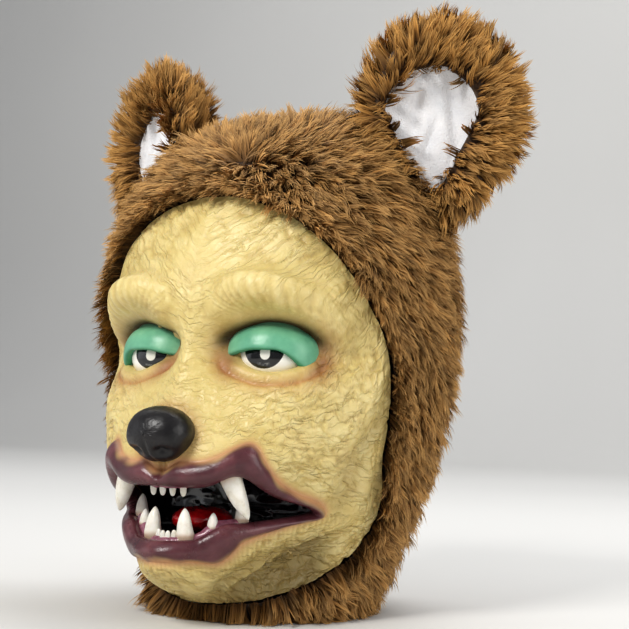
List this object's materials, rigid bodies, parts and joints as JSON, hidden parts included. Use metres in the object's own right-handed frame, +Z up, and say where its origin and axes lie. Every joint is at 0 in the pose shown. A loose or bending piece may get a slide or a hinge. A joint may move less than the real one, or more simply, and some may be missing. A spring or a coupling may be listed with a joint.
{
  "type": "latex halloween mask",
  "caption": "Full-head bear-like costume mask: wrinkled latex face with glossy eyes, open fanged mouth and black nose, in a brown long-pile hood with upright hinged ears.",
  "frame": {"origin": "below the middle of the whole mask, on the plane that the neck hem stands on", "axes": "+Z up to the crown, -Y out of the face, +X to the mask's own left"},
  "size_m": [0.3326, 0.291, 0.408],
  "materials": {
    "latex_skin": "satin, wrinkled cast latex",
    "nose_black": "satin",
    "gum_pink": "satin",
    "tongue_red": "gloss",
    "liner_black": "gloss",
    "brown_pile": "long pile",
    "hem_cloth": "woven tape",
    "eye_gloss": "gloss with a painted black iris",
    "lid_green": "satin",
    "tooth_enamel": "gloss",
    "white_fleece": "short fleece",
    "ear_foam": "foam sheet"
  },
  "bodies": {
    "hood": {"face_shell": "latex_skin", "nose": "nose_black", "gum_upper": "gum_pink", "gum_lower": "gum_pink", "tongue": "tongue_red", "mouth_liner": "liner_black", "hood_crown_gusset": "brown_pile", "hood_chin_panel": "brown_pile", "neck_hem_band": "hem_cloth", "eye_left": "eye_gloss", "eyelid_left": "lid_green", "hood_side_left": "brown_pile", "upper_canine_left": "tooth_enamel", "upper_incisor_inner_left": "tooth_enamel", "upper_incisor_outer_left": "tooth_enamel", "lower_canine_left": "tooth_enamel", "lower_incisor_inner_left": "tooth_enamel", "lower_incisor_outer_left": "tooth_enamel", "lower_cone_front_left": "tooth_enamel", "lower_cone_rear_left": "tooth_enamel", "eye_right": "eye_gloss", "eyelid_right": "lid_green", "hood_side_right": "brown_pile", "upper_canine_right": "tooth_enamel", "upper_incisor_inner_right": "tooth_enamel", "upper_incisor_outer_right": "tooth_enamel", "lower_canine_right": "tooth_enamel", "lower_incisor_inner_right": "tooth_enamel", "lower_incisor_outer_right": "tooth_enamel", "lower_cone_front_right": "tooth_enamel", "lower_cone_rear_right": "tooth_enamel"},
    "ear_left": {"ear_fur_left": "brown_pile", "ear_lining_left": "white_fleece", "ear_core_left": "ear_foam"},
    "ear_right": {"ear_fur_right": "brown_pile", "ear_lining_right": "white_fleece", "ear_core_right": "ear_foam"}
  },
  "joints": [
    {"name": "ear_left_fold", "type": "hinge", "parent": "hood", "child": "ear_left", "pos_m": [0.11832, 0.0322, 0.292], "axis": [-0.3871, -0.2058, 0.8988], "range_deg": [-28, 28], "stiffness_Nm_per_rad": 0.3},
    {"name": "ear_right_fold", "type": "hinge", "parent": "hood", "child": "ear_right", "pos_m": [-0.11832, 0.0322, 0.279], "axis": [-0.3871, 0.2058, -0.8988], "range_deg": [-28, 28], "stiffness_Nm_per_rad": 0.3}
  ]
}
